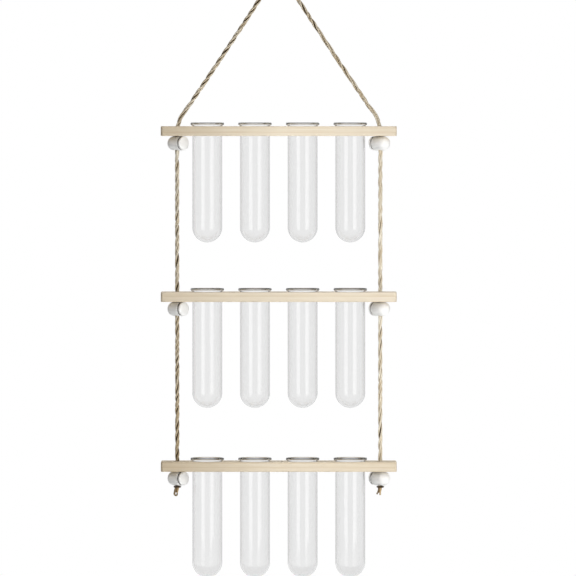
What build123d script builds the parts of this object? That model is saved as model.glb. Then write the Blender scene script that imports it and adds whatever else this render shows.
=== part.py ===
"""A hanging propagation vase: twelve glass tubes in three wooden bars, held on one rope by spring cord locks.

Millimetres. The origin is where the hook bears on the rope's bight. +Z is up, +X is to the right and -Y is the front.
"""

import os
from math import cos, pi, radians, sin

from build123d import *

os.makedirs("parts", exist_ok=True)

# Tiers, from the hook down
hang_height = 147.5
middle_drop = 166.0
lower_drop = 170.0

# Wooden bars
bar_length = 236.0
bar_depth = 45.0
bar_thickness = 9.8
bar_corner_chamfer = 1.5
bar_edge_chamfer = 0.6

# Glass tubes
tubes_per_bar = 4
tube_inset = 46.3
tube_diameter = 30.0
tube_wall = 1.5
tube_length = 120.0
tube_sides = 18
tube_clearance = 0.4

# The flared lip, with its neck starting inside the hole and its bead above the bar
lip_diameter = 33.3
lip_height = 3.6
neck_depth = 1.5
lip_outside_shares = [(0.0, 0.0), (0.42, 0.30), (0.74, 1.0), (1.0, 0.78)]
lip_inside_shares = [(0.96, 0.50), (0.42, 0.0)]

# Rope and the hook that it hangs on
rope_diameter = 4.2
rope_inset = 16.2
rope_clearance = 0.4
rope_sides = 8
hook_diameter = 8.0
bar_bend_radius = 6.5

# Rope ends: a tight collar and a splayed tail
knot_diameter = 7.8
knot_height = 2.0
knot_round = 0.5
tail_length = 8.8
tail_diameter = 4.6
tail_waist = 3.6
tail_splay = 5.4
knot_sides = 12
knot_gap = 0.3

# Cord locks: a ball-ended body, and a push button whose cap stands clear of its mouth
lock_diameter = 14.4
lock_wall = 0.9
lock_mouth = 6.4
lock_ball_offset = 3.7
lock_rim = 0.4
lock_seat_gap = 0.1
lock_turn = 45.0
lock_sides = 14
hole_sides = 12
button_clearance = 0.5
button_travel = 1.6
button_back = 1.4
button_bevel = 1.9
button_stop = 0.3
stem_diameter = 8.8
cap_diameter = 13.8
cap_height = 1.3
cap_dome = 0.8
slot_clearance = 0.3
pip_diameter = 4.0
pip_height = 0.8

# Lock springs
spring_diameter = 6.6
spring_wire = 0.5
spring_turns = 3
spring_steps = 6
spring_gap = 0.1

# How far a cut runs past a face
overrun = 1.0

# Radii
tube_radius = tube_diameter / 2
tube_bore_radius = tube_radius - tube_wall
lip_radius = lip_diameter / 2
rope_radius = rope_diameter / 2
rope_hole_radius = rope_radius + rope_clearance
lock_radius = lock_diameter / 2
lock_bore_radius = lock_radius - lock_wall
button_radius = lock_bore_radius - button_clearance
stem_radius = stem_diameter / 2
cap_radius = cap_diameter / 2
spring_radius = spring_diameter / 2

# Places
tiers = {
    "upper": -hang_height,
    "middle": -hang_height - middle_drop,
    "lower": -hang_height - middle_drop - lower_drop,
}
rope_x = bar_length / 2 - rope_inset
sides = {"left": -1, "right": 1}
tube_pitch = (bar_length - 2 * tube_inset) / (tubes_per_bar - 1)
tube_places = [(i - (tubes_per_bar - 1) / 2) * tube_pitch for i in range(tubes_per_bar)]
lock_depth = bar_thickness + lock_seat_gap + lock_radius
knot_top = tiers["lower"] - lock_depth - lock_radius - knot_gap


def save(piece, name):
    """Labels a finished piece and writes it under its own name."""
    piece.part.label = name
    export_step(piece.part, f"parts/{name}.step")


def turned(rows, side_count):
    """A profile of (height, radius) rows turned about Z in flat steps, with a flat end on its first and last row."""
    turns = [2 * pi * i / side_count for i in range(side_count)]
    rings = [[(radius * cos(t), radius * sin(t), height) for t in turns] for height, radius in rows]
    faces = [Face(Wire.make_polygon(ring)) for ring in (rings[0], rings[-1])]
    for ring, following in zip(rings, rings[1:]):
        for i in range(side_count):
            faces.append(Face(Wire.make_polygon([ring[i - 1], ring[i], following[i], following[i - 1]])))
    return Solid(Shell(faces))


def ball_rows(centre, radius, angles):
    """Rows of a ball's lower half, at each angle from the downward axis."""
    return [(centre - radius * cos(radians(a)), radius * sin(radians(a))) for a in angles]


# Bars: a row of tube holes and two rope holes, with the upright corners chamfered, then the other edges
for tier, bar_top in tiers.items():
    with BuildPart() as bar:
        with BuildSketch(Plane.XY.offset(bar_top)):
            Rectangle(bar_length, bar_depth)
        extrude(amount=-bar_thickness)
        chamfer(bar.edges().filter_by(Axis.Z), bar_corner_chamfer)
        chamfer(bar.edges() - bar.edges().filter_by(Axis.Z), bar_edge_chamfer)
        with Locations(*[(x, 0, bar_top) for x in tube_places]):
            Hole(tube_radius + tube_clearance)
        with BuildSketch(Plane.XY.offset(bar_top)):
            with Locations(*[(side * rope_x, 0) for side in sides.values()]):
                RegularPolygon(rope_hole_radius, hole_sides)
        extrude(amount=-bar_thickness, mode=Mode.SUBTRACT)
    save(bar, f"{tier}_bar")

# One tube, with z = 0 at the bar's top: round bottom, straight wall, flared neck and beaded lip
lip_reach = lip_radius - tube_radius
lip_span = lip_height + neck_depth
ball_centre = lip_height - tube_length + tube_radius
tube_rows = ball_rows(ball_centre, tube_radius, [13, 39, 65, 90])
tube_rows += [(lip_span * up - neck_depth, tube_radius + lip_reach * out) for up, out in lip_outside_shares]
tube_rows += [(lip_span * up - neck_depth, tube_bore_radius + lip_reach * out) for up, out in lip_inside_shares]
tube_rows += ball_rows(ball_centre, tube_bore_radius, [90, 54, 17])
glass = turned(tube_rows, tube_sides)
for tier, bar_top in tiers.items():
    for number, x in enumerate(tube_places, 1):
        with BuildPart() as tube:
            with Locations((x, 0, bar_top)):
                add(glass)
        save(tube, f"{tier}_tube_{number}")

# Lock parts, along +Z with z = 0 at the rope: the body's closed ball end is below and its mouth above
lock_rows = ball_rows(-lock_ball_offset, lock_radius, [11, 38, 64, 90])
lock_rows += [(lock_mouth - lock_rim, lock_radius), (lock_mouth, lock_radius - lock_rim)]
lock_rows += [(lock_mouth - lock_rim, lock_bore_radius)]
lock_rows += ball_rows(-lock_ball_offset, lock_bore_radius, [90, 66, 40, 14])
lock_form = turned(lock_rows, lock_sides)
with BuildPart() as lock_body:
    add(lock_form)
    with BuildSketch(Plane.XZ):
        RegularPolygon(rope_hole_radius, hole_sides)
    extrude(amount=lock_radius + overrun, both=True, mode=Mode.SUBTRACT)

# The button: a bevelled back with a pip for the spring, a slot for the rope that is longer by the travel, a narrow
# stem in the body's mouth, and a domed cap that stops short of the mouth's rim when pressed
slot_back = -rope_radius - slot_clearance
slot_front = rope_radius + slot_clearance + button_travel
button_foot = slot_back - button_back
guide_end = slot_front + slot_clearance
cap_back = lock_mouth + button_travel + button_stop
cap_front = cap_back + cap_height
button_rows = [
    (button_foot, button_radius - button_bevel),
    (button_foot + button_bevel, button_radius),
    (guide_end, button_radius),
    (guide_end + button_radius - stem_radius, stem_radius),
    (cap_back, stem_radius),
    (cap_back, cap_radius),
    (cap_front, cap_radius),
    (cap_front + cap_dome / 2, cap_radius - cap_dome),
    (cap_front + cap_dome, cap_radius / 2),
]
button_form = turned(button_rows, lock_sides)
with BuildPart() as lock_button:
    add(button_form)
    with BuildSketch(Plane.XZ):
        with Locations((0, (slot_back + slot_front) / 2)):
            Rectangle(2 * rope_hole_radius, slot_front - slot_back)
    extrude(amount=button_radius + overrun, both=True, mode=Mode.SUBTRACT)
    with BuildSketch(Plane.XY.offset(button_foot)):
        RegularPolygon(pip_diameter / 2, hole_sides)
    extrude(amount=-pip_height)

# The spring: a coil of square wire between the button's foot and the ball end's inner wall
spring_line = spring_radius - spring_wire / 2
ball_reach = (lock_bore_radius**2 - spring_radius**2) ** 0.5
spring_top = button_foot - spring_gap - spring_wire / 2
spring_foot = -lock_ball_offset - ball_reach + spring_wire
spring_rise = spring_top - spring_foot
steps = spring_turns * spring_steps
coil = [
    (
        spring_line * cos(2 * pi * i / spring_steps),
        spring_line * sin(2 * pi * i / spring_steps),
        spring_foot + spring_rise * i / steps,
    )
    for i in range(steps + 1)
]
with BuildPart() as lock_spring:
    with BuildLine() as coil_line:
        Polyline(*coil)
    with BuildSketch(Plane(origin=coil[0], z_dir=coil_line.line % 0)):
        Rectangle(spring_wire, spring_wire)
    sweep(transition=Transition.RIGHT)

# Each lock lies level under its bar end, turned about the rope, the right-hand ones half a turn from the left
for tier, bar_top in tiers.items():
    for name, side in sides.items():
        heading = radians(lock_turn) if side < 0 else radians(lock_turn) + pi
        lock_plane = Plane(
            origin=(side * rope_x, 0, bar_top - lock_depth),
            x_dir=(sin(heading), cos(heading), 0),
            z_dir=(cos(heading), -sin(heading), 0),
        )
        for piece, form in (("body", lock_body), ("button", lock_button), ("spring", lock_spring)):
            with BuildPart() as placed:
                with Locations(lock_plane.location):
                    add(form.part)
            save(placed, f"{tier}_{name}_lock_{piece}")

# Rope: up the left side, in over the hook, and down the right side
rope_points = [
    (-rope_x, 0, knot_top),
    (-rope_x, 0, tiers["upper"] + rope_radius),
    (-hook_diameter / 2, 0, rope_radius),
    (hook_diameter / 2, 0, rope_radius),
    (rope_x, 0, tiers["upper"] + rope_radius),
    (rope_x, 0, knot_top),
]
hook_bend_radius = hook_diameter / 2 + rope_radius
rope_bends = [bar_bend_radius, hook_bend_radius, hook_bend_radius, bar_bend_radius]
with BuildPart() as rope:
    with BuildLine() as rope_line:
        FilletPolyline(*rope_points, radius=rope_bends)
    with BuildSketch(Plane(origin=rope_points[0], z_dir=(0, 0, 1))):
        RegularPolygon(rope_radius, rope_sides)
    sweep()
save(rope, "hanging_rope")
rope_length = sum(edge.length for edge in rope_line.edges())
print(f"rope length {rope_length:.1f} mm, bends {rope_bends}")
rope_section = rope_sides / 2 * rope_radius**2 * sin(2 * pi / rope_sides)
print(f"rope volume {rope.part.volume:.1f}, section times length {rope_section * rope_length:.1f} mm3")

# Knots: the rope's ends, drawn as a collar and a tail that opens out
knot_rows = [
    (0, knot_diameter / 2 - knot_round),
    (-knot_round, knot_diameter / 2),
    (knot_round - knot_height, knot_diameter / 2),
    (-knot_height, tail_diameter / 2),
    (-knot_height - tail_length / 2, tail_waist / 2),
    (-knot_height - tail_length, tail_splay / 2),
]
knot_form = turned(knot_rows, knot_sides)
for name, side in sides.items():
    with BuildPart() as knot:
        with Locations((side * rope_x, 0, knot_top)):
            add(knot_form)
    save(knot, f"{name}_knot")
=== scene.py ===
"""Looks of the hanging propagation vase: glass tubes in pine bars on one jute rope, with moulded cord locks.

Metres, in the solids' own frame: the origin is under the rope's bight, +Z is up, +X is right and -Y is front.
"""

from math import cos, pi, radians, sin

import bpy
import numpy as np
from mathutils import Matrix, Vector


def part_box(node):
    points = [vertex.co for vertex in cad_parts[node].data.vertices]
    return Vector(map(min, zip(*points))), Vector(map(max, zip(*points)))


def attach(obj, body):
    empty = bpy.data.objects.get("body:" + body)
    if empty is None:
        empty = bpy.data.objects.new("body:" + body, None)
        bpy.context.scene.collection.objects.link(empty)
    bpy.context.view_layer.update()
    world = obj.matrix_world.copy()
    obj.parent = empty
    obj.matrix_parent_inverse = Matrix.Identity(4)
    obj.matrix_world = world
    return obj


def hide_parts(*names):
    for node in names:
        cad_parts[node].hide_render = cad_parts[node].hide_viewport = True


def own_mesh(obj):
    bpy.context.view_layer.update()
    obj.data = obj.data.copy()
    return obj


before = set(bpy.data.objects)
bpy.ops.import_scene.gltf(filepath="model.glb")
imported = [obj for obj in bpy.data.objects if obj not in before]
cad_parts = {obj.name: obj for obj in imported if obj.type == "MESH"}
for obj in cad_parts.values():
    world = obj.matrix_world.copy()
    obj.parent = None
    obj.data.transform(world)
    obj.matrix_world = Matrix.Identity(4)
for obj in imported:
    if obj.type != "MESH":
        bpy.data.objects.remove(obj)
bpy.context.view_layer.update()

mm = 0.001

# Tiers, and the body that carries each one's bar and locks
tier_bodies = {"upper": "hanger", "middle": "middle_tier", "lower": "lower_tier"}
sides = {"left": -1, "right": 1}
bar_boxes = {tier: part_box(f"{tier}_bar") for tier in tier_bodies}
bar_tops = {tier: high.z for tier, (low, high) in bar_boxes.items()}
bar_depth = 45.0 * mm
bar_thickness = 9.8 * mm
bar_end = bar_boxes["upper"][1].x
bar_length = 2 * bar_end
corner_radius = 2.5 * mm
corner_columns = 7

# The bar's rounded edges, as (reach past the sides, height) from the underside to the top
edge_round = 1.2 * mm
edge_line = np.array([
    (-edge_round, -bar_thickness), (0.0, -bar_thickness), (0.0, edge_round - bar_thickness),
    (0.0, -edge_round), (0.0, 0.0), (-edge_round, 0.0),
])
edge_steps = 6
hole_ease = 0.5 * mm
sharp_angle = radians(35.0)

# Glass tubes
tubes_per_bar = 4
tube_radius = 15.0 * mm
tube_wall = 1.5 * mm
tube_length = 120.0 * mm
tube_columns = 72
tube_clearance = 0.4 * mm

# Ball ends of tubes and locks: rows from beside the pole to the widest ring, in degrees from straight down
ball_rows = 20
pole_angle = 4.0
wide_angle = 90.0

# The lip's section, as (radius, height above the bar) from the outer wall over the bead to the inner wall
lip_line = np.array([
    (15.00, -4.0), (15.00, -1.0), (15.10, 0.3), (15.60, 0.85), (16.60, 1.3), (16.95, 2.5),
    (16.50, 3.6), (15.60, 3.75), (14.75, 3.3), (14.10, 2.3), (13.50, 0.8), (13.50, -2.5),
]) * mm
lip_steps = 7

# Rope: the solid's own points from the left end to the top, moved a little to stay in the bars' holes
rope_inset = 16.2 * mm
rope_x = bar_end - rope_inset
rope_left = [
    (-101.8, -508.1), (-101.8, -170.6), (-102.1, -143.0), (-87.9, -124.4), (-17.9, -18.9), (-6.0, 2.1),
]
rope_route = [(x * mm, 0.0, z * mm) for x, z in rope_left + [(-x, z) for x, z in reversed(rope_left)]]
spline_order = 3
spline_steps = 160

# The rope's lay: three strands, each of a few yarns twisted the other way, with seeded drifts along it
strand_count = 3
strand_radius = 1.06 * mm
strand_offset = 1.12 * mm
rope_seed = 11
lay_drift = 0.8
lay_drift_knots = 60
strand_slip = 0.5
strand_slip_knots = 90
yarns = 5
yarn_lay = 10.0 * mm
yarn_depth = 0.07
ring_spacing = 0.9 * mm
strand_columns = 18
strand_wander = 0.06
strand_wander_knots = 160

# Along the rope from its left end: a turn's length, where the painted shade in a groove starts, and a milder
# painted shade over the whole strand, strongest on the left leg, where less light falls
rope_shares = [0.0, 0.16, 0.33, 0.40, 0.60, 0.67, 0.84, 1.0]
rope_lays = np.array([25.0, 25.0, 32.0, 27.0, 42.0, 38.0, 36.0, 34.0]) * mm
groove_starts = [0.30, 0.20, 0.00, 0.22, 0.08, -0.45, -0.15, 0.08]
mild_shade_shares = [0.36, 0.18, 0.0, 0.12, 0.20, 0.0, 0.0, 0.03]
groove_width = 0.35

# Knots: a tight collar, dark with painted shadow from the lock above, over strands that part, one curled up
# at the left and two splayed at the right
knot_top = rope_route[0][2]
collar_radius = 2.5 * mm
collar_reach = 1.4 * mm
collar_rise = 1.0 * mm
collar_twists = 7
collar_groove = 0.16
collar_columns = 24
collar_rows = 120
collar_shade = 0.92
tail_steps = 10
tail_twist = 4.0
tail_thickness = [1.3 * mm, 1.05 * mm, 0.95 * mm, 0.85 * mm, 0.75 * mm]

# Each tail strand's painted shade, heavier on the left and back strands, where less light falls, and its line
# as points from the collar in millimetres
tail_strands = {
    "left": [
        (0.60, [
            (-1.2, -0.5, 0.5), (-1.8, -0.5, -3.0), (-2.7, -0.4, -5.4), (-3.0, -0.3, -8.1),
            (-0.3, -0.3, -9.2), (0.0, -0.3, -6.6),
        ]),
        (0.05, [(0.9, -0.6, 0.5), (0.5, -0.6, -2.5), (0.1, -0.4, -4.8), (-0.2, -0.1, -6.4)]),
        (0.70, [(-0.2, 1.0, 0.5), (-0.6, 0.8, -2.5), (-1.4, 0.6, -5.7)]),
    ],
    "right": [
        (0.65, [(-1.1, -0.5, 0.5), (-1.3, -0.5, -2.5), (-1.9, -0.4, -4.8), (-3.5, -0.2, -7.5)]),
        (0.10, [(0.9, -0.6, 0.5), (0.4, -0.6, -2.5), (-0.2, -0.4, -5.0), (-0.1, -0.3, -8.4)]),
        (0.70, [(-0.1, 1.0, 0.5), (-0.5, 0.8, -2.5), (-0.7, 0.6, -4.6), (-0.8, 0.3, -6.0)]),
    ],
}

# Cord locks, along their own Z with zero at the rope
lock_radius = 7.2 * mm
lock_wall = 0.9 * mm
lock_bore = lock_radius - lock_wall
lock_mouth = 6.4 * mm
lock_ball_centre = -3.7 * mm
lock_seat_gap = 0.1 * mm
lock_turn = radians(45.0)
lock_columns = 64
rim_rows = 9
lock_drop = bar_thickness + lock_seat_gap + lock_radius
rope_hole_radius = 2.5 * mm
hole_flare = 0.7 * mm
hole_columns = 40
drill_rows = 61

# Painted shade in the lock's bore and on the button inside it, at heights from its bottom to its top, as
# shares of its radius, darkest at the top, where the bar keeps the light out
bore_height_shares = [-0.9, -0.3, 0.2, 0.7]
bore_painted_shade_shares = [0.9, 0.15, 0.15, 1.0]

# Push buttons: the section as (radius, height) from the spring's pip along the guide and the stem to the cap
button_line = np.array([
    (1.6, -4.6), (2.0, -4.6), (2.0, -4.4), (2.0, -3.8), (2.4, -3.8), (3.9, -3.8), (4.2, -3.5), (5.5, -2.2),
    (5.8, -1.9), (5.8, -1.5), (5.8, 3.8), (5.8, 4.2), (5.5, 4.5), (4.7, 5.3), (4.4, 5.6), (4.4, 6.0),
    (4.4, 7.9), (4.4, 8.3), (4.8, 8.3), (6.4, 8.3), (6.88, 8.35), (6.92, 8.8), (6.92, 9.2), (6.85, 9.8),
    (6.2, 10.2), (4.4, 10.36), (2.0, 10.4), (0.8, 10.4),
]) * mm
button_steps = 5
button_foot = button_line[0, 1]
button_end = button_line[-1, 1]
cap_back = 8.3 * mm
gap_edge = 0.05 * mm
slot_centre = 0.8 * mm
slot_half_run = 0.7 * mm
slot_reach = 9.0 * mm

# Lock springs
spring_radius = 3.05 * mm
spring_wire_radius = 0.25 * mm
spring_foot = -8.57 * mm
spring_top = -4.15 * mm
spring_turns = 3
spring_rows = 120
spring_columns = 12

# Studio: a picture of 576 by 576 pixels at one millimetre to the pixel, seen from far away
picture_width = 576.0 * mm
picture_centre = Vector((9.25 * mm, -bar_depth / 2, -309.3 * mm))
camera_distance = 8.0
camera_rise = radians(1.0)
sensor_width = 36.0
floor_height = -680.0 * mm
floor_half_width = 1.15
floor_glow = 0.8
floor_gloss = 0.92
backdrop_gloss = 0.78
ambient_strength = 0.10


def linear(code):
    """An sRGB hex colour as linear red, green and blue with full alpha, by the sRGB curve."""
    shares = np.array([int(code[i:i + 2], 16) for i in (1, 3, 5)]) / 255
    curve = np.where(shares <= 0.04045, shares / 12.92, ((shares + 0.055) / 1.055) ** 2.4)
    return (*curve.tolist(), 1.0)


def add_node(tree, kind, settings=None, inputs=None, stops=()):
    """Adds one node, with its settings, each input linked to a socket or set to a value, and the stops of its
    colour ramp, if it has one, as (place, hex colour)."""
    node = tree.nodes.new(kind)
    for key, value in (settings or {}).items():
        setattr(node, key, value)
    for key, value in (inputs or {}).items():
        if isinstance(value, bpy.types.NodeSocket):
            tree.links.new(value, node.inputs[key])
        else:
            node.inputs[key].default_value = value
    for number, (place, code) in enumerate(stops):
        marks = node.color_ramp.elements
        mark = marks[number] if number < len(marks) else marks.new(place)
        mark.position, mark.color = place, linear(code)
    return node


def new_material(name):
    """An empty node material and its tree."""
    material = bpy.data.materials.new(name)
    material.use_nodes = True
    material.node_tree.nodes.clear()
    return material, material.node_tree


def pine(name, pith, painted_light_tones):
    """Sanded, unvarnished pine. The eye sees pale cream early wood, soft tan late-wood lines that run along
    the bar and arc across its ends, painted light that changes along each bar and from bar to bar, darker
    towards the left ends, where less light falls, end grain that is darker and greyer and also holds painted
    shade against the lamps' highlight on the rounded end corners, and a dull, faintly fibrous surface. The
    fibres are drawn in coarse bundles, so that they show.
    A wave texture repeats every pi / 10 at scale 1."""
    material, tree = new_material(name)
    lie = add_node(tree, "ShaderNodeTexCoord").outputs
    place = lie["Object"]
    along_share = 0.03
    tone_shares = (0.05, 0.5, 0.95)
    wave_period = pi / 10
    ring_width = 4.2 * mm
    fibre_width = 0.9 * mm
    board = add_node(
        tree, "ShaderNodeMapping", {"vector_type": "POINT"},
        {"Vector": place, "Location": (0.0, pith[0], pith[1]), "Scale": (along_share, 1.0, 1.0)},
    ).outputs["Vector"]
    rings = add_node(
        tree, "ShaderNodeTexWave",
        {"wave_type": "RINGS", "rings_direction": "X", "wave_profile": "SAW"},
        {
            "Vector": board, "Scale": wave_period / ring_width, "Distortion": 1.6, "Detail": 2.0,
            "Detail Scale": 0.35,
        },
    ).outputs["Fac"]
    fibres = add_node(
        tree, "ShaderNodeTexNoise", None,
        {"Vector": board, "Scale": 1 / fibre_width, "Detail": 3.0, "Roughness": 0.6},
    ).outputs["Fac"]
    across = add_node(tree, "ShaderNodeSeparateXYZ", None, {"Vector": place}).outputs["X"]
    tone = add_node(
        tree, "ShaderNodeMapRange", None, {"Value": across, "From Min": -bar_end, "From Max": bar_end},
    ).outputs["Result"]
    # End grain, darker and greyer where the surface faces along the bar, and also painted shade against the
    # lamps' highlight on the rounded end corners
    endwise = add_node(tree, "ShaderNodeSeparateXYZ", None, {"Vector": lie["Normal"]}).outputs["X"]
    facing = add_node(tree, "ShaderNodeMath", {"operation": "ABSOLUTE"}, {0: endwise}).outputs[0]
    end_grain_and_shade = add_node(
        tree, "ShaderNodeValToRGB", None, {"Fac": facing}, [(0.10, "#FFFFFF"), (0.85, "#F4F2EF")],
    ).outputs["Color"]
    wood = add_node(
        tree, "ShaderNodeValToRGB", None, {"Fac": rings},
        [(0.0, "#F4E9D6"), (0.55, "#F0E3CD"), (0.85, "#E5D4B7"), (1.0, "#EEE0C9")],
    ).outputs["Color"]
    streaks = add_node(
        tree, "ShaderNodeValToRGB", None, {"Fac": fibres}, [(0.30, "#E6D6BA"), (0.62, "#F8EFDF")],
    ).outputs["Color"]
    grain = add_node(
        tree, "ShaderNodeMix", {"data_type": "RGBA", "blend_type": "MIX"},
        {"Factor": 0.35, "A": wood, "B": streaks},
    ).outputs["Result"]
    # Painted light: a ramp along the bar, darker towards the left end, where less light falls
    painted_light = add_node(
        tree, "ShaderNodeValToRGB", None, {"Fac": tone}, list(zip(tone_shares, painted_light_tones)),
    ).outputs["Color"]
    board_colour = add_node(
        tree, "ShaderNodeMix", {"data_type": "RGBA", "blend_type": "MULTIPLY"},
        {"Factor": 1.0, "A": grain, "B": painted_light},
    ).outputs["Result"]
    colour = add_node(
        tree, "ShaderNodeMix", {"data_type": "RGBA", "blend_type": "MULTIPLY"},
        {"Factor": 1.0, "A": board_colour, "B": end_grain_and_shade},
    ).outputs["Result"]
    dull = add_node(
        tree, "ShaderNodeMapRange", None, {"Value": fibres, "To Min": 0.56, "To Max": 0.74},
    ).outputs["Result"]
    relief = add_node(
        tree, "ShaderNodeBump", None, {"Height": fibres, "Strength": 0.12, "Distance": 0.2 * mm},
    ).outputs["Normal"]
    shader = add_node(
        tree, "ShaderNodeBsdfPrincipled", None,
        {"Base Color": colour, "Roughness": dull, "Normal": relief, "Specular IOR Level": 0.25},
    )
    add_node(tree, "ShaderNodeOutputMaterial", None, {"Surface": shader.outputs["BSDF"]})
    return material


def borosilicate_glass():
    """Drawn laboratory glass. The eye sees a clear, faintly grey wall that darkens where it is seen edge on,
    sharp upright highlights, and light that passes through to what is behind."""
    material, tree = new_material("borosilicate_glass")
    glass = add_node(
        tree, "ShaderNodeBsdfPrincipled", None,
        {"Base Color": linear("#F8F8F8"), "Roughness": 0.0, "IOR": 1.47, "Transmission Weight": 1.0},
    )
    passing = add_node(tree, "ShaderNodeBsdfTransparent", None, {"Color": linear("#FBFBFB")})
    path = add_node(tree, "ShaderNodeLightPath")
    surface = add_node(
        tree, "ShaderNodeMixShader", None,
        {0: path.outputs["Is Shadow Ray"], 1: glass.outputs["BSDF"], 2: passing.outputs["BSDF"]},
    )
    wall = add_node(
        tree, "ShaderNodeVolumeAbsorption", None, {"Color": linear("#ADADAD"), "Density": 32.0},
    )
    add_node(
        tree, "ShaderNodeOutputMaterial", None,
        {"Surface": surface.outputs["Shader"], "Volume": wall.outputs["Volume"]},
    )
    return material


def moulded_abs():
    """Moulded white ABS. The eye sees a clean white with a soft satin sheen, the fine orange-peel unevenness
    of a mould, and painted shade, darkest at the top, where the inside shows in the gap round the button."""
    material, tree = new_material("moulded_abs")
    place = add_node(tree, "ShaderNodeTexCoord").outputs["Object"]
    peel_width = 1.4 * mm
    cloud_width = 6.0 * mm
    peel = add_node(
        tree, "ShaderNodeTexNoise", None, {"Vector": place, "Scale": 1 / peel_width, "Detail": 2.0},
    ).outputs["Fac"]
    cloud = add_node(
        tree, "ShaderNodeTexNoise", None, {"Vector": place, "Scale": 1 / cloud_width, "Detail": 2.0},
    ).outputs["Fac"]
    white = add_node(
        tree, "ShaderNodeValToRGB", None, {"Fac": cloud}, [(0.30, "#F2F2F1"), (0.70, "#F9F9F8")],
    ).outputs["Color"]
    # Painted shade in the bore and the gap round the button, mixed towards #3A3735
    shaded_inside = add_node(tree, "ShaderNodeAttribute", {"attribute_name": "painted_shade"}).outputs["Fac"]
    colour = add_node(
        tree, "ShaderNodeMix", {"data_type": "RGBA", "blend_type": "MIX"},
        {"Factor": shaded_inside, "A": white, "B": linear("#3A3735")},
    ).outputs["Result"]
    sheen = add_node(
        tree, "ShaderNodeMapRange", None, {"Value": cloud, "To Min": 0.50, "To Max": 0.60},
    ).outputs["Result"]
    relief = add_node(
        tree, "ShaderNodeBump", None, {"Height": peel, "Strength": 0.05, "Distance": 0.1 * mm},
    ).outputs["Normal"]
    shader = add_node(
        tree, "ShaderNodeBsdfPrincipled", None,
        {"Base Color": colour, "Roughness": sheen, "Normal": relief, "IOR": 1.53},
    )
    add_node(tree, "ShaderNodeOutputMaterial", None, {"Surface": shader.outputs["BSDF"]})
    return material


def jute(name, light, middle, mild_shade, dark):
    """Twisted jute. The eye sees dull straw fibres that run along each strand in lighter and darker streaks,
    and painted shade: dark in the grooves where the strands meet, tan at its edges, and a milder tan where
    the mesh asks for it. The fibres are drawn about four times as wide as real ones, so that they show."""
    material, tree = new_material(name)
    lie = add_node(tree, "ShaderNodeUVMap").outputs["UV"]
    fibre_width = 0.35 * mm
    fibre_run = 6.0 * mm
    patch_run = 14.0 * mm
    fibre_place = add_node(
        tree, "ShaderNodeMapping", None,
        {"Vector": lie, "Scale": (1 / fibre_width, 1 / fibre_run, 1.0)},
    ).outputs["Vector"]
    patch_place = add_node(
        tree, "ShaderNodeMapping", None,
        {"Vector": lie, "Scale": (1 / patch_run, 1 / patch_run, 1.0)},
    ).outputs["Vector"]
    fibres = add_node(
        tree, "ShaderNodeTexNoise", None,
        {"Vector": fibre_place, "Scale": 1.0, "Detail": 4.0, "Roughness": 0.65},
    ).outputs["Fac"]
    patches = add_node(
        tree, "ShaderNodeTexNoise", None, {"Vector": patch_place, "Scale": 1.0, "Detail": 2.0},
    ).outputs["Fac"]
    shade_amount = add_node(tree, "ShaderNodeAttribute", {"attribute_name": "painted_shade"}).outputs["Fac"]
    straw = add_node(
        tree, "ShaderNodeValToRGB", None, {"Fac": fibres},
        [(0.25, middle), (0.55, light), (0.80, "#EFE6D0")],
    ).outputs["Color"]
    tone = add_node(
        tree, "ShaderNodeValToRGB", None, {"Fac": patches}, [(0.35, "#D8CCB8"), (0.65, "#FFFFFF")],
    ).outputs["Color"]
    dry = add_node(
        tree, "ShaderNodeMix", {"data_type": "RGBA", "blend_type": "MULTIPLY"},
        {"Factor": 0.8, "A": straw, "B": tone},
    ).outputs["Result"]
    # Painted shade: white, then tan, then dark as the amount rises
    shade_tint = add_node(
        tree, "ShaderNodeValToRGB", None, {"Fac": shade_amount},
        [(0.0, "#FFFFFF"), (0.35, mild_shade), (1.0, dark)],
    ).outputs["Color"]
    colour = add_node(
        tree, "ShaderNodeMix", {"data_type": "RGBA", "blend_type": "MULTIPLY"},
        {"Factor": 1.0, "A": dry, "B": shade_tint},
    ).outputs["Result"]
    relief = add_node(
        tree, "ShaderNodeBump", None, {"Height": fibres, "Strength": 0.5, "Distance": 0.25 * mm},
    ).outputs["Normal"]
    shader = add_node(
        tree, "ShaderNodeBsdfPrincipled", None,
        {
            "Base Color": colour, "Roughness": 0.88, "Normal": relief, "Sheen Weight": 0.15,
            "Specular IOR Level": 0.2,
        },
    )
    add_node(tree, "ShaderNodeOutputMaterial", None, {"Surface": shader.outputs["BSDF"]})
    return material


def spring_steel():
    """Drawn spring wire. The eye sees bright grey metal with fine draw lines, made coarser here so that they
    show."""
    material, tree = new_material("spring_steel")
    place = add_node(tree, "ShaderNodeTexCoord").outputs["Object"]
    line_width = 0.2 * mm
    lines = add_node(
        tree, "ShaderNodeTexNoise", None, {"Vector": place, "Scale": 1 / line_width, "Detail": 2.0},
    ).outputs["Fac"]
    finish = add_node(
        tree, "ShaderNodeMapRange", None, {"Value": lines, "To Min": 0.24, "To Max": 0.40},
    ).outputs["Result"]
    shader = add_node(
        tree, "ShaderNodeBsdfPrincipled", None,
        {"Base Color": linear("#B9BCC0"), "Metallic": 1.0, "Roughness": finish},
    )
    add_node(tree, "ShaderNodeOutputMaterial", None, {"Surface": shader.outputs["BSDF"]})
    return material


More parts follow.
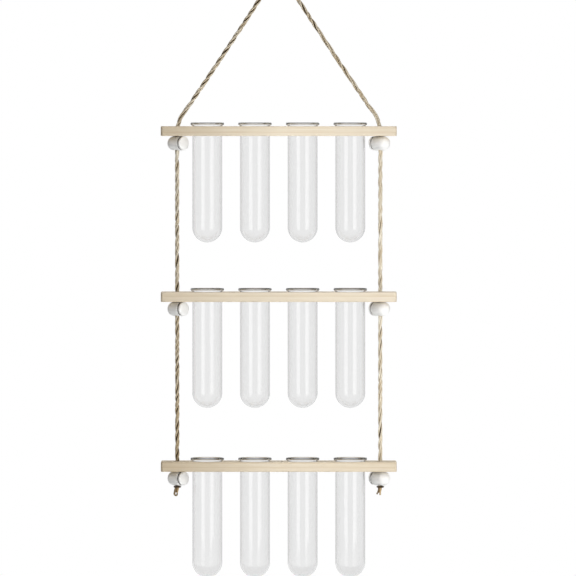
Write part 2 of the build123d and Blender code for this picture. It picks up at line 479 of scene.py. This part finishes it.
def skin(grid, around, along, first_pole=None, last_pole=None):
    """Points, faces and corner UVs of a grid of rows by columns whose columns wrap round. Each face spans two
    rows and two columns, a pole closes its end row with a fan, and the UVs run to the lengths around and
    along."""
    rows, columns = grid.shape[:2]
    here = np.arange(rows * columns).reshape(rows, columns)
    beside = np.roll(here, -1, axis=1)
    quads = np.stack([here[:-1], beside[:-1], beside[1:], here[1:]], axis=-1).reshape(-1, 4)
    column, row = np.meshgrid(np.arange(columns), np.arange(rows - 1))
    across = np.stack([column, column + 1, column + 1, column], axis=-1) * around / columns
    up = np.stack([row, row, row + 1, row + 1], axis=-1) * along / (rows - 1)
    points = [grid.reshape(-1, 3)]
    faces = quads.tolist()
    corners = [np.stack([across, up], axis=-1).reshape(-1, 2)]
    turn = np.arange(columns) * around / columns
    fan_turns = np.stack([turn, turn, turn], axis=-1)
    for pole, height, fan in (
        (first_pole, 0.0, (beside[0], here[0])),
        (last_pole, along, (here[-1], beside[-1])),
    ):
        if pole is not None:
            tip = np.full(columns, sum(len(p) for p in points))
            points.append(np.reshape(pole, (1, 3)))
            faces += np.stack([tip, *fan], axis=-1).tolist()
            corners.append(np.stack([fan_turns, np.full((columns, 3), height)], axis=-1).reshape(-1, 2))
    return np.vstack(points), faces, np.vstack(corners)


def joined(skins):
    """Several skins as one, with each one's face numbers moved past the points before it."""
    points, faces, corners, start = [], [], [], 0
    for skin_points, skin_faces, skin_corners in skins:
        points.append(skin_points)
        faces += [[number + start for number in face] for face in skin_faces]
        corners.append(skin_corners)
        start += len(skin_points)
    return np.vstack(points), faces, np.vstack(corners)


def mesh_of(name, made):
    """A smooth mesh of a skin, with its UV map."""
    points, faces, corners = made
    mesh = bpy.data.meshes.new(name)
    mesh.from_pydata(points.tolist(), [], faces)
    mesh.uv_layers.new(name="lie").data.foreach_set("uv", corners.astype(np.float32).ravel())
    mesh.shade_smooth()
    return mesh


def turned(profile, columns, poles=(None, None)):
    """A profile of (radius, height) rows turned about Z: at turn t, a row lies at (r cos t, r sin t, height).
    A pole is a height on the axis where the skin closes."""
    turns = np.linspace(0, 2 * pi, columns, endpoint=False)
    radius, height = profile[:, :1], profile[:, 1:]
    grid = np.stack(
        [radius * np.cos(turns), radius * np.sin(turns), height + np.zeros(columns)], axis=-1,
    )
    ends = [None if pole is None else (0.0, 0.0, pole) for pole in poles]
    around = 2 * pi * profile[:, 0].max()
    along = np.linalg.norm(np.diff(profile, axis=0), axis=1).sum()
    return skin(grid, around, along, *ends)


def flowing(line, steps):
    """A quadratic B-spline on a line's points: each inner point pulls a parabola from the middle of the run
    before it to the middle of the run after it, and the two ends are kept."""
    middles = (line[:-1] + line[1:]) / 2
    middles[0], middles[-1] = line[0], line[-1]
    share = np.linspace(0, 1, steps, endpoint=False)[:, None]
    start, pull, end = middles[:-1, None], line[1:-1, None], middles[1:, None]
    spans = (1 - share) ** 2 * start + 2 * share * (1 - share) * pull + share**2 * end
    return np.vstack([spans.reshape(-1, line.shape[1]), line[-1:]])


def ball(centre, radius, first, last, rows):
    """Rows of a ball's lower half as (radius, height), at even angles in degrees from straight down."""
    angles = np.radians(np.linspace(first, last, rows))
    return np.stack([radius * np.sin(angles), centre - radius * np.cos(angles)], axis=-1)


def drawn_along(centres, side, radius, columns, around, poles=True):
    """A round section carried along a path: at each centre, a ring of the given radius in the plane square to
    the path, measured from the side direction. The radius may change along and around the path."""
    tangent = np.gradient(centres, axis=0)
    tangent /= np.linalg.norm(tangent, axis=1, keepdims=True)
    side = side - tangent * (side * tangent).sum(1, keepdims=True)
    side /= np.linalg.norm(side, axis=1, keepdims=True)
    other = np.cross(tangent, side)
    turns = np.linspace(0, 2 * pi, columns, endpoint=False)
    reach = np.broadcast_to(radius, (len(centres), columns))[..., None]
    spokes = np.cos(turns)[None, :, None] * side[:, None] + np.sin(turns)[None, :, None] * other[:, None]
    grid = centres[:, None] + reach * spokes
    along = np.linalg.norm(np.diff(centres, axis=0), axis=1).sum()
    ends = (centres[0], centres[-1]) if poles else (None, None)
    return skin(grid, around, along, *ends)


def drill(centre, direction, plain, ease, flare, radius, reach):
    """A closed round cutter along a direction: straight for the plain length each way from its centre, then
    opening by the flare times the square of the way past it over the ease."""
    way = np.linspace(-reach, reach, drill_rows)
    opening = flare * np.clip((np.abs(way) - plain) / ease, 0, None) ** 2
    centres = np.array(centre) + way[:, None] * np.array(direction)
    side = np.tile((1.0, 0.0, 0.0), (drill_rows, 1))
    return drawn_along(centres, side, (radius + opening)[:, None], hole_columns, 2 * pi * radius)


def piece(name, mesh, material, body, slot, *nodes):
    """A finished piece: it shows a mesh in a material, rides on a body and stands for the named solids."""
    mesh.name = name
    mesh.materials.clear()
    mesh.materials.append(material)
    made = bpy.data.objects.new(name, mesh)
    bpy.context.scene.collection.objects.link(made)
    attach(made, body)
    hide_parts(*nodes)
    return made


def cut(mesh, cutter, smooth_angle):
    """The mesh with a cutter's form taken out of it, and edges sharper than an angle kept crisp."""
    blank = bpy.data.objects.new("blank", mesh)
    tool = bpy.data.objects.new("tool", cutter)
    for thing in (blank, tool):
        bpy.context.scene.collection.objects.link(thing)
    taking = blank.modifiers.new("hole", "BOOLEAN")
    taking.operation = "DIFFERENCE"
    taking.solver = "EXACT"
    taking.object = tool
    bpy.context.view_layer.update()
    shaped = bpy.data.meshes.new_from_object(blank.evaluated_get(bpy.context.evaluated_depsgraph_get()))
    for thing in (blank, tool):
        bpy.data.objects.remove(thing)
    shaped.shade_smooth()
    shaped.set_sharp_from_angle(angle=smooth_angle)
    return shaped


def shaded(mesh, values):
    """Stores the painted shade of each point of a mesh."""
    mesh.attributes.new("painted_shade", "FLOAT", "POINT").data.foreach_set("value", np.float32(values))


def bore_shade(mesh, end):
    """The painted shade on a lock mesh's points: zero but within the round-ended bore and below an end, and
    there by their height, darkest near the top, which the bar keeps the light from."""
    points = np.zeros(len(mesh.vertices) * 3)
    mesh.vertices.foreach_get("co", points)
    x, y, z = points.reshape(-1, 3).T
    below = np.minimum(z - lock_ball_centre, 0)
    shaded_inside = (x**2 + y**2 + below**2 < (lock_bore + gap_edge) ** 2) & (z < end)
    return shaded_inside * np.interp(y / lock_bore, bore_height_shares, bore_painted_shade_shares)


def placed(mesh, place):
    """A copy of a mesh moved to its place."""
    copy = mesh.copy()
    copy.transform(place)
    return copy


def wander(rng, count, knot_count, reach):
    """A slow random drift: seeded values at even knots, each within a reach of zero, joined straight."""
    knots = np.linspace(0, count - 1, knot_count)
    return np.interp(np.arange(count), knots, rng.uniform(-reach, reach, knot_count))


# Finishes: the shift of each board's rings in y and z, and its painted light from left to right, darker
# towards the left end, where less light falls
bar_boards = {
    "upper": ((0.012, 0.118), ("#E8E3DB", "#F9F8F6", "#F2F0ED")),
    "middle": ((-0.018, 0.276), ("#EBE8E3", "#E8E7E5", "#ECEBEA")),
    "lower": ((0.020, 0.452), ("#D9D3C9", "#E6E4E1", "#E1DED9")),
}
bar_finishes = {tier: pine(f"pine_{tier}", *board) for tier, board in bar_boards.items()}
tube_glass = borosilicate_glass()
lock_plastic = moulded_abs()
# Jute colours: light and middle straw, then the tan and the dark of the painted shade
rope_jute = jute("jute", "#F0E9D9", "#DACFB7", "#C6BAA6", "#463622")
knot_jute = jute("jute_knot", "#DCC49C", "#A9865A", "#D3D2D2", "#2C1D18")
wire_steel = spring_steel()

# One bar with zero at its top: a block with rounded corners and edges, and eased holes for tubes and rope
quarter_turn = np.linspace(0, pi / 2, corner_columns)
corner_turns = np.concatenate([quarter_turn + quarter * pi / 2 for quarter in range(4)])
corner_out = np.stack([np.cos(corner_turns), np.sin(corner_turns)], axis=-1)
corner_sign = np.repeat([(1, 1), (-1, 1), (-1, -1), (1, -1)], corner_columns, axis=0)
corner_place = corner_sign * (np.array([bar_end, bar_depth / 2]) - corner_radius)
bar_rows = flowing(edge_line, edge_steps)
bar_outline = corner_place + (corner_radius + bar_rows[:, :1, None]) * corner_out
bar_heights = np.broadcast_to(bar_rows[:, 1:], bar_outline.shape[:2])
bar_skin = skin(
    np.dstack([bar_outline, bar_heights]), 2 * bar_length, bar_thickness,
    (0.0, 0.0, -bar_thickness), (0.0, 0.0, 0.0),
)
bar_blank = mesh_of("bar", bar_skin)
half_bar = bar_thickness / 2
tube_boxes = [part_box(f"upper_tube_{number}") for number in range(1, tubes_per_bar + 1)]
bar_holes = [((low.x + high.x) / 2, tube_radius + tube_clearance) for low, high in tube_boxes]
bar_holes += [(side * rope_x, rope_hole_radius) for side in sides.values()]
bar_drills = [
    drill(
        (x, 0.0, -half_bar), (0.0, 0.0, 1.0), half_bar - hole_ease, hole_ease, hole_ease, radius,
        half_bar + hole_ease,
    )
    for x, radius in bar_holes
]
bar_mesh = cut(bar_blank, mesh_of("holes", joined(bar_drills)), sharp_angle)
for tier, finish in bar_finishes.items():
    stand = Matrix.Translation((0.0, 0.0, bar_tops[tier]))
    piece(f"{tier}_bar_wood", placed(bar_mesh, stand), finish, tier_bodies[tier], "pine", f"{tier}_bar")

# One tube with zero at the bar's top: round bottom, wall, beaded lip, and the same again inside
bore_radius = tube_radius - tube_wall
tube_ball_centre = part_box("upper_tube_1")[1].z - bar_tops["upper"] - tube_length + tube_radius
tube_profile = np.vstack([
    ball(tube_ball_centre, tube_radius, pole_angle, wide_angle, ball_rows),
    flowing(lip_line, lip_steps),
    ball(tube_ball_centre, bore_radius, wide_angle, pole_angle, ball_rows),
])
tube_poles = (tube_ball_centre - tube_radius, tube_ball_centre - bore_radius)
tube_mesh = mesh_of("tube", turned(tube_profile, tube_columns, tube_poles))
for tier, bar_top in bar_tops.items():
    for number in range(1, tubes_per_bar + 1):
        node = f"{tier}_tube_{number}"
        low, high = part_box(node)
        stand = Matrix.Translation(((low.x + high.x) / 2, (low.y + high.y) / 2, bar_top))
        piece(f"{node}_glass", placed(tube_mesh, stand), tube_glass, node, "glass", node)

# Lock body: closed ball end, straight wall, round rim, hollow inside, and a flared hole for the rope
rim_angles = np.linspace(0, pi, rim_rows)
rim_round = lock_wall / 2
rim = np.stack([
    lock_radius - rim_round + rim_round * np.cos(rim_angles),
    lock_mouth - rim_round + rim_round * np.sin(rim_angles),
], axis=-1)
lock_profile = np.vstack([
    ball(lock_ball_centre, lock_radius, pole_angle, wide_angle, ball_rows),
    rim,
    ball(lock_ball_centre, lock_bore, wide_angle, pole_angle, ball_rows),
])
lock_poles = (lock_ball_centre - lock_radius, lock_ball_centre - lock_bore)
lock_blank = mesh_of("lock", turned(lock_profile, lock_columns, lock_poles))
lock_drill = drill(
    (0.0, 0.0, 0.0), (0.0, 1.0, 0.0), lock_bore, lock_wall, hole_flare, rope_hole_radius, slot_reach,
)
lock_mesh = cut(lock_blank, mesh_of("hole", lock_drill), sharp_angle)
shaded(lock_mesh, bore_shade(lock_mesh, lock_mouth))

# Push button: turned, with a rounded slot for the rope that leaves room for its travel
button_blank = mesh_of(
    "button", turned(flowing(button_line, button_steps), lock_columns, (button_foot, button_end)),
)
slot_turns = np.linspace(0, 2 * pi, hole_columns, endpoint=False) + pi / hole_columns
slot_across = rope_hole_radius * np.cos(slot_turns)
slot_rise = np.sin(slot_turns)
slot_along = slot_centre + slot_half_run * np.sign(slot_rise) + rope_hole_radius * slot_rise
slot_ends = np.array([slot_reach, -slot_reach])[:, None] + 0 * slot_turns
slot_grid = np.stack([slot_across + 0 * slot_ends, slot_ends, slot_along + 0 * slot_ends], axis=-1)
slot_skin = skin(
    slot_grid, slot_reach, slot_reach, (0.0, slot_reach, slot_centre), (0.0, -slot_reach, slot_centre),
)
button_mesh = cut(button_blank, mesh_of("slot", slot_skin), sharp_angle)
shaded(button_mesh, bore_shade(button_mesh, cap_back + gap_edge))

# Spring: round wire on a helix
coil_turns = np.linspace(0, 2 * pi * spring_turns, spring_rows)
coil_out = np.stack([np.cos(coil_turns), np.sin(coil_turns), 0 * coil_turns], axis=-1)
coil_rise = np.linspace(spring_foot, spring_top, spring_rows)[:, None] * np.array([0.0, 0.0, 1.0])
coil_skin = drawn_along(
    spring_radius * coil_out + coil_rise, coil_out, spring_wire_radius, spring_columns,
    2 * pi * spring_wire_radius,
)
spring_mesh = mesh_of("spring", coil_skin)

# Each lock lies level under its bar end; the right-hand ones are turned half round
for tier, bar_top in bar_tops.items():
    for name, side in sides.items():
        heading = lock_turn if side < 0 else lock_turn + pi
        x_axis = Vector((sin(heading), cos(heading), 0.0))
        z_axis = Vector((cos(heading), -sin(heading), 0.0))
        lock_place = Vector((side * rope_x, 0.0, bar_top - lock_drop))
        turn = Matrix((x_axis, z_axis.cross(x_axis), z_axis)).transposed().to_4x4()
        stand = Matrix.Translation(lock_place) @ turn
        node = f"{tier}_{name}_lock"
        body = tier_bodies[tier]
        piece(f"{node}_shell", placed(lock_mesh, stand), lock_plastic, body, "white_plastic", f"{node}_body")
        piece(
            f"{node}_plunger", placed(button_mesh, stand), lock_plastic, f"{node}_button", "white_plastic",
            f"{node}_button",
        )
        coil = piece(
            f"{node}_coil", placed(spring_mesh, stand), wire_steel, body, "spring_steel", f"{node}_spring",
        )
        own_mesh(coil)

# The rope's line: one smooth spline on the route's points
rope_curve = bpy.data.curves.new("rope_line", "CURVE")
rope_curve.dimensions = "3D"
rope_spline = rope_curve.splines.new("NURBS")
rope_spline.points.add(len(rope_route) - 1)
rope_spline.points.foreach_set("co", np.hstack([rope_route, np.ones((len(rope_route), 1))]).ravel())
rope_spline.order_u = spline_order
rope_spline.use_endpoint_u = True
rope_spline.resolution_u = spline_steps
rope_guide = bpy.data.objects.new("rope_line", rope_curve)
bpy.context.scene.collection.objects.link(rope_guide)
bpy.context.view_layer.update()
guide_shape = rope_guide.evaluated_get(bpy.context.evaluated_depsgraph_get())
guide_mesh = bpy.data.meshes.new_from_object(guide_shape)
guide = np.zeros(len(guide_mesh.vertices) * 3)
guide_mesh.vertices.foreach_get("co", guide)
guide = guide.reshape(-1, 3)
bpy.data.objects.remove(rope_guide)
bpy.data.meshes.remove(guide_mesh)

# The same line at even steps, for the strands to follow
guide_run = np.concatenate([[0.0], np.cumsum(np.linalg.norm(np.diff(guide, axis=0), axis=1))])
rope_run = np.linspace(0, guide_run[-1], int(guide_run[-1] / ring_spacing))
rope_line = np.stack([np.interp(rope_run, guide_run, guide[:, axis]) for axis in range(3)], axis=-1)
rope_tangent = np.gradient(rope_line, axis=0)
rope_tangent /= np.linalg.norm(rope_tangent, axis=1, keepdims=True)
rope_back = np.tile((0.0, 1.0, 0.0), (len(rope_line), 1))
rope_across = np.cross(rope_tangent, rope_back)

# Strands: each winds round the line, its yarns make lobes that wind the other way, and its end caps are dark
rng = np.random.default_rng(rope_seed)
strand_skins = []
shade_rows = []
rope_drift = wander(rng, len(rope_run), lay_drift_knots, lay_drift)
rope_share = rope_run / rope_run[-1]
lay_turns = np.cumsum(rope_run[1] / np.interp(rope_share, rope_shares, rope_lays))
groove_start = np.interp(rope_share, rope_shares, groove_starts)[:, None]
mild_shade = np.interp(rope_share, rope_shares, mild_shade_shares)[:, None]
strand_turns = np.linspace(0, 2 * pi, strand_columns, endpoint=False)
for number in range(strand_count):
    winding = 2 * pi * (lay_turns + number / strand_count)
    winding += rope_drift + wander(rng, len(rope_run), strand_slip_knots, strand_slip)
    outward = np.cos(winding)[:, None] * rope_back + np.sin(winding)[:, None] * rope_across
    swell = 1 + wander(rng, len(rope_run), strand_wander_knots, strand_wander)[:, None]
    lobes = 1 + yarn_depth * np.cos(yarns * (strand_turns + 2 * pi * rope_run[:, None] / yarn_lay))
    strand_skins.append(drawn_along(
        rope_line + strand_offset * outward, outward, strand_radius * swell * lobes, strand_columns,
        2 * pi * strand_radius,
    ))
    # Painted shade: dark deep in the grooves between strands, and never less than the milder painted shade
    # along the rope
    shade = np.clip((groove_start - np.cos(strand_turns)) / groove_width, mild_shade, 1)
    shade_rows += [shade.ravel(), np.ones(2)]
rope_mesh = mesh_of("rope", joined(strand_skins))
shaded(rope_mesh, np.concatenate(shade_rows))
rope = piece("hanging_rope_strands", rope_mesh, rope_jute, "hanger", "jute", "hanging_rope")

# A knot's collar: an oval section on a ring, grooved between strands that wind along it
collar_turns = np.linspace(0, 2 * pi, collar_rows)
ring_out = np.stack([np.cos(collar_turns), np.sin(collar_turns), 0 * collar_turns], axis=-1)
section = np.linspace(0, 2 * pi, collar_columns, endpoint=False)
strand_angle = strand_count / 2 * section + collar_twists * collar_turns[:, None] / 2
groove = 1 - collar_groove * np.abs(np.sin(strand_angle))
oval = 1 / np.hypot(np.cos(section) / collar_reach, np.sin(section) / collar_rise)

# Knots: a collar wound tight under the lock, and the rope's end opening into its strands
for name, side in sides.items():
    knot_centre = np.array([side * rope_x, 0.0, knot_top - collar_rise])
    collar = drawn_along(
        knot_centre + collar_radius * ring_out, ring_out, oval * groove, collar_columns,
        2 * pi * collar_reach, poles=False,
    )
    knot_skins = [collar]
    # The collar is dark with painted shadow from the lock above
    knot_shades = [np.full(len(collar[0]), collar_shade)]
    for strand_shade, line in tail_strands[name]:
        tail_line = knot_centre + flowing(np.array(line) * mm, tail_steps)
        fall = np.linspace(0, 1, len(tail_line))
        thickness = np.interp(fall, np.linspace(0, 1, len(tail_thickness)), tail_thickness)[:, None]
        lobes = 1 + yarn_depth * np.cos(yarns * (strand_turns - tail_twist * fall[:, None]))
        back = np.tile((0.0, 1.0, 0.0), (len(tail_line), 1))
        tail = drawn_along(tail_line, back, thickness * lobes, strand_columns, 2 * pi * strand_radius)
        knot_skins.append(tail)
        # Painted shade on this strand, heavier on the left and back strands, where less light falls
        knot_shades.append(np.full(len(tail[0]), strand_shade))
    knot_mesh = mesh_of(f"{name}_knot", joined(knot_skins))
    shaded(knot_mesh, np.concatenate(knot_shades))
    piece(f"{name}_knot_jute", knot_mesh, knot_jute, "hanger", "jute", f"{name}_knot")

# Floor: pale to the camera, with the object's shadow on it, white through glass and a little less so in gloss
floor_corners = [(-1, -1), (1, -1), (1, 1), (-1, 1)]
floor_mesh = bpy.data.meshes.new("floor")
floor_mesh.from_pydata(
    [(x * floor_half_width, y * floor_half_width, floor_height) for x, y in floor_corners],
    [], [(0, 1, 2, 3)],
)
floor = bpy.data.objects.new("floor", floor_mesh)
bpy.context.scene.collection.objects.link(floor)
floor_finish, floor_tree = new_material("matt_white_floor")
floor_paint = add_node(floor_tree, "ShaderNodeBsdfDiffuse", None, {"Color": linear("#F6F6F4")})
floor_rays = add_node(floor_tree, "ShaderNodeLightPath").outputs
floor_light = add_node(
    floor_tree, "ShaderNodeMapRange", None,
    {"Value": floor_rays["Is Glossy Ray"], "To Min": 1.0, "To Max": floor_gloss},
).outputs["Result"]
floor_white = add_node(
    floor_tree, "ShaderNodeEmission", None, {"Color": linear("#FFFFFF"), "Strength": floor_light},
)
floor_plain = add_node(
    floor_tree, "ShaderNodeMath", {"operation": "MULTIPLY"},
    {0: floor_rays["Is Camera Ray"], 1: floor_glow},
).outputs[0]
floor_shiny = add_node(
    floor_tree, "ShaderNodeMath", {"operation": "MAXIMUM"},
    {0: floor_rays["Is Glossy Ray"], 1: floor_rays["Is Transmission Ray"]},
).outputs[0]
floor_seen = add_node(
    floor_tree, "ShaderNodeMath", {"operation": "MAXIMUM"}, {0: floor_plain, 1: floor_shiny},
).outputs[0]
floor_surface = add_node(
    floor_tree, "ShaderNodeMixShader", None,
    {0: floor_seen, 1: floor_paint.outputs["BSDF"], 2: floor_white.outputs["Emission"]},
)
add_node(floor_tree, "ShaderNodeOutputMaterial", None, {"Surface": floor_surface.outputs["Shader"]})
floor_mesh.materials.append(floor_finish)

# Soft light: each panel's place, size and power, whether it lights matt surfaces and whether gloss shows it
lamps = {
    "right": ((0.80, -0.50, -0.36), (0.90, 1.0), 4.1, True, False),
    "low_right": ((0.45, -0.30, -0.60), (0.30, 0.30), 0.50, True, False),
    "front": ((0.05, -0.30, -0.43), (0.14, 0.9), 1.18, True, False),
    "left": ((-0.55, -0.25, -0.31), (0.30, 1.0), 0.50, True, False),
    "back": ((0.20, 1.20, -0.31), (0.80, 1.2), 12.0, True, False),
    "top": ((0.05, 0.05, 0.75), (1.2, 0.8), 4.8, True, False),
    "right_window": ((0.93, -1.18, -0.31), (0.80, 1.5), 4.6, False, True),
    "left_window": ((-0.83, -1.25, -0.31), (0.80, 1.5), 3.2, False, True),
}
for name, (place, (width, height), power, lights_matt, shows_in_gloss) in lamps.items():
    lamp_data = bpy.data.lights.new(name, "AREA")
    lamp_data.shape = "RECTANGLE"
    lamp_data.size = width
    lamp_data.size_y = height
    lamp_data.energy = power
    lamp = bpy.data.objects.new(name, lamp_data)
    lamp.location = place
    facing = Vector((0.0, 0.0, min(place[2], bar_tops["upper"]))) - Vector(place)
    lamp.rotation_euler = facing.to_track_quat("-Z", "Y").to_euler()
    lamp.visible_camera = False
    lamp.visible_diffuse = lights_matt
    lamp.visible_glossy = shows_in_gloss
    lamp.visible_transmission = shows_in_gloss
    bpy.context.scene.collection.objects.link(lamp)

# Surroundings: white straight and through glass, pale grey where mirrored, and a faint light on all the rest
world = bpy.data.worlds.new("studio")
bpy.context.scene.world = world
world.use_nodes = True
world_tree = world.node_tree
world_tree.nodes.clear()
rays = add_node(world_tree, "ShaderNodeLightPath").outputs
mirrored = add_node(
    world_tree, "ShaderNodeMath", {"operation": "MINIMUM"}, {0: rays["Glossy Depth"], 1: 1.0},
).outputs[0]
bright = add_node(
    world_tree, "ShaderNodeMapRange", None, {"Value": mirrored, "To Min": 1.0, "To Max": backdrop_gloss},
).outputs["Result"]
shiny = add_node(
    world_tree, "ShaderNodeMath", {"operation": "MAXIMUM"},
    {0: rays["Is Glossy Ray"], 1: rays["Is Transmission Ray"]},
).outputs[0]
seen = add_node(
    world_tree, "ShaderNodeMath", {"operation": "MAXIMUM"}, {0: rays["Is Camera Ray"], 1: shiny},
).outputs[0]
strength = add_node(
    world_tree, "ShaderNodeMapRange", None, {"Value": seen, "To Min": ambient_strength, "To Max": bright},
).outputs["Result"]
backdrop = add_node(
    world_tree, "ShaderNodeBackground", None, {"Color": linear("#FFFFFF"), "Strength": strength},
)
add_node(world_tree, "ShaderNodeOutputWorld", None, {"Surface": backdrop.outputs["Background"]})

# Camera
camera_data = bpy.data.cameras.new("camera")
camera_data.sensor_width = sensor_width
camera_data.lens = sensor_width * camera_distance / picture_width
camera = bpy.data.objects.new("camera", camera_data)
camera.location = picture_centre + camera_distance * Vector((0.0, -cos(camera_rise), sin(camera_rise)))
camera.rotation_euler = (picture_centre - camera.location).to_track_quat("-Z", "Y").to_euler()
bpy.context.scene.collection.objects.link(camera)
bpy.context.scene.camera = camera
bpy.context.scene.view_settings.view_transform = "Standard"

# Light has to pass through four tubes in a row, with four faces each
ray_passes = 32
bpy.context.scene.cycles.max_bounces = ray_passes
bpy.context.scene.cycles.transmission_bounces = ray_passes
bpy.context.scene.cycles.transparent_max_bounces = ray_passes
